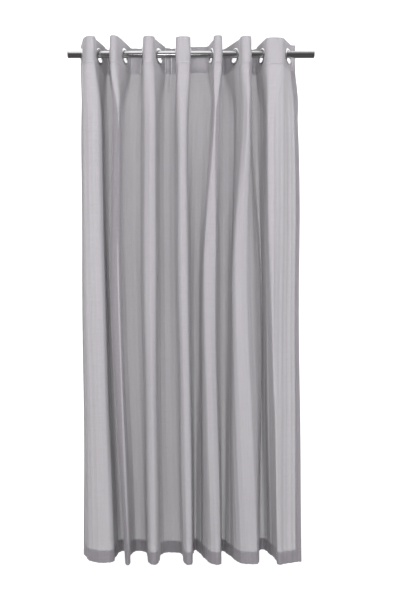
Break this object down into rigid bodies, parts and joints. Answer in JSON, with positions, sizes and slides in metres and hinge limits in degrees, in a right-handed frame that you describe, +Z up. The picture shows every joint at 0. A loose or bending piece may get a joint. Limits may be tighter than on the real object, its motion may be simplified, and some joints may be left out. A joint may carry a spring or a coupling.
{
  "type": "eyelet curtain panel",
  "caption": "Semi-sheer grey voile curtain panel with a stiffened eyelet header and hemmed edges, hanging in soft vertical folds from a short polished steel pole.",
  "frame": {"origin": "on the pole's axis at the pole's mid-length", "axes": "+X along the pole to the right as seen from the room, +Y away from the room towards the window, +Z up"},
  "size_m": [1.017, 0.1722, 2.127],
  "materials": {
    "pole_steel": "polished",
    "plug_steel": "satin",
    "voile": "matte",
    "voile_turned_over": "matte",
    "stiffener": "matte",
    "thread": "satin",
    "eyelet_front": "polished",
    "eyelet_back": "polished"
  },
  "bodies": {
    "pole": {"pole_tube": "pole_steel", "pole_plug_left": "plug_steel", "pole_plug_right": "plug_steel"},
    "panel": {"voile_panel": "voile", "header_stiffener": "stiffener", "header_turnover": "voile_turned_over", "bottom_hem_turnup": "voile_turned_over", "left_side_hem": "voile_turned_over", "right_side_hem": "voile_turned_over", "header_stitching": "thread", "bottom_hem_stitching": "thread", "left_side_stitching": "thread", "right_side_stitching": "thread", "eyelet_01_front": "eyelet_front", "eyelet_01_back": "eyelet_back"},
    "eyelet_02": {"eyelet_02_front": "eyelet_front", "eyelet_02_back": "eyelet_back"},
    "eyelet_03": {"eyelet_03_front": "eyelet_front", "eyelet_03_back": "eyelet_back"},
    "eyelet_04": {"eyelet_04_front": "eyelet_front", "eyelet_04_back": "eyelet_back"},
    "eyelet_05": {"eyelet_05_front": "eyelet_front", "eyelet_05_back": "eyelet_back"},
    "eyelet_06": {"eyelet_06_front": "eyelet_front", "eyelet_06_back": "eyelet_back"},
    "eyelet_07": {"eyelet_07_front": "eyelet_front", "eyelet_07_back": "eyelet_back"},
    "eyelet_08": {"eyelet_08_front": "eyelet_front", "eyelet_08_back": "eyelet_back"},
    "eyelet_09": {"eyelet_09_front": "eyelet_front", "eyelet_09_back": "eyelet_back"},
    "eyelet_10": {"eyelet_10_front": "eyelet_front", "eyelet_10_back": "eyelet_back"},
    "eyelet_11": {"eyelet_11_front": "eyelet_front", "eyelet_11_back": "eyelet_back"},
    "eyelet_12": {"eyelet_12_front": "eyelet_front", "eyelet_12_back": "eyelet_back"},
    "eyelet_13": {"eyelet_13_front": "eyelet_front", "eyelet_13_back": "eyelet_back"},
    "eyelet_14": {"eyelet_14_front": "eyelet_front", "eyelet_14_back": "eyelet_back"}
  },
  "joints": [
    {"name": "swing", "type": "hinge", "parent": "pole", "child": "panel", "pos_m": [0, 0, 0], "axis": [1, 0, 0], "range_deg": [-15, 15]},
    {"name": "draw", "type": "slide", "parent": "panel", "child": "eyelet_14", "axis": [-1, 0, 0], "range_m": [-0.05, 0.25], "deforming": ["voile_panel", "header_stiffener", "header_turnover", "bottom_hem_turnup", "left_side_hem", "right_side_hem", "header_stitching", "bottom_hem_stitching", "left_side_stitching", "right_side_stitching"]},
    {"name": "draw_02", "type": "slide", "parent": "panel", "child": "eyelet_02", "axis": [-1, 0, 0], "range_m": [-0.0015, 0.0055]},
    {"name": "draw_03", "type": "slide", "parent": "panel", "child": "eyelet_03", "axis": [-1, 0, 0], "range_m": [-0.003, 0.0131]},
    {"name": "draw_04", "type": "slide", "parent": "panel", "child": "eyelet_04", "axis": [-1, 0, 0], "range_m": [-0.006, 0.0282]},
    {"name": "draw_05", "type": "slide", "parent": "panel", "child": "eyelet_05", "axis": [-1, 0, 0], "range_m": [-0.0111, 0.0532]},
    {"name": "draw_06", "type": "slide", "parent": "panel", "child": "eyelet_06", "axis": [-1, 0, 0], "range_m": [-0.0163, 0.0793]},
    {"name": "draw_07", "type": "slide", "parent": "panel", "child": "eyelet_07", "axis": [-1, 0, 0], "range_m": [-0.0225, 0.1105]},
    {"name": "draw_08", "type": "slide", "parent": "panel", "child": "eyelet_08", "axis": [-1, 0, 0], "range_m": [-0.0272, 0.1341]},
    {"name": "draw_09", "type": "slide", "parent": "panel", "child": "eyelet_09", "axis": [-1, 0, 0], "range_m": [-0.0349, 0.1724]},
    {"name": "draw_10", "type": "slide", "parent": "panel", "child": "eyelet_10", "axis": [-1, 0, 0], "range_m": [-0.0383, 0.1894]},
    {"name": "draw_11", "type": "slide", "parent": "panel", "child": "eyelet_11", "axis": [-1, 0, 0], "range_m": [-0.0422, 0.2092]},
    {"name": "draw_12", "type": "slide", "parent": "panel", "child": "eyelet_12", "axis": [-1, 0, 0], "range_m": [-0.0462, 0.2289]},
    {"name": "draw_13", "type": "slide", "parent": "panel", "child": "eyelet_13", "axis": [-1, 0, 0], "range_m": [-0.0483, 0.2394]}
  ],
  "couplings": [
    {"joint": "draw_02", "follows": "draw", "ratio": 0.02},
    {"joint": "draw_03", "follows": "draw", "ratio": 0.0505},
    {"joint": "draw_04", "follows": "draw", "ratio": 0.1108},
    {"joint": "draw_05", "follows": "draw", "ratio": 0.211},
    {"joint": "draw_06", "follows": "draw", "ratio": 0.315},
    {"joint": "draw_07", "follows": "draw", "ratio": 0.4401},
    {"joint": "draw_08", "follows": "draw", "ratio": 0.5345},
    {"joint": "draw_09", "follows": "draw", "ratio": 0.6878},
    {"joint": "draw_10", "follows": "draw", "ratio": 0.7557},
    {"joint": "draw_11", "follows": "draw", "ratio": 0.8347},
    {"joint": "draw_12", "follows": "draw", "ratio": 0.9136},
    {"joint": "draw_13", "follows": "draw", "ratio": 0.9557}
  ]
}
